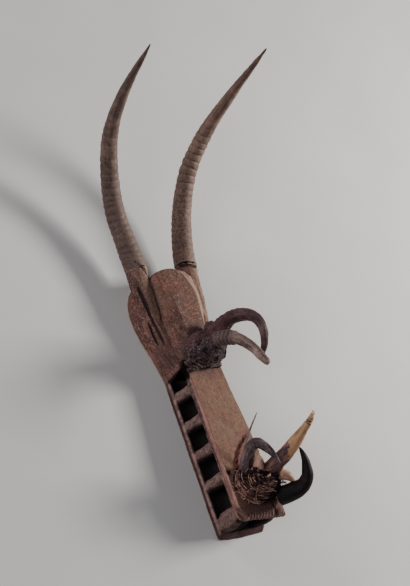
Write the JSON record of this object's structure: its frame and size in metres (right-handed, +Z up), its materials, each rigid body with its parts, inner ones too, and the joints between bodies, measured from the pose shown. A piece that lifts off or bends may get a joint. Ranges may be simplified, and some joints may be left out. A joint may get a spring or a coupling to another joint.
{
  "type": "carved horned helmet mask",
  "caption": "Long-jawed carved wooden helmet mask with an open strutted mouth, ringed horns sweeping back and up, and small horns tied on its bridge and muzzle.",
  "frame": {"origin": "on the underside that the mask lies on, at the middle of its overall length and width, below the front half of the helmet", "axes": "+Y back along the mask from the muzzle to the long horns, +X to the mask's own right seen from behind, +Z up from the underside"},
  "size_m": [0.3336, 0.965, 0.4642],
  "materials": {
    "carved_wood": "dry hand-carved hardwood, dark brown, worn paler on the edges and on top",
    "long_horn": "ringed animal horn, grey brown, dull",
    "small_horn": "smooth dark animal horn, low sheen",
    "pale_horn": "pale tan spike, brown at its root",
    "quill": "thin frayed grey quill",
    "crusted_binding": "bound cloth and cord under a thick charcoal crust",
    "plant_fibre": "twisted dark plant fibre with dry crust"
  },
  "bodies": {
    "root": {"carved_mask": "carved_wood", "long_horn_left": "long_horn", "long_horn_right": "long_horn", "bridge_wrap": "crusted_binding", "fibre_nest": "plant_fibre", "bridge_horn_far": "small_horn", "bridge_horn_near": "small_horn", "beak_spike": "pale_horn", "front_horn_crescent": "small_horn", "front_horn_arch": "small_horn", "small_cone": "pale_horn", "pale_spike": "pale_horn", "quill": "quill"}
  },
  "joints": []
}
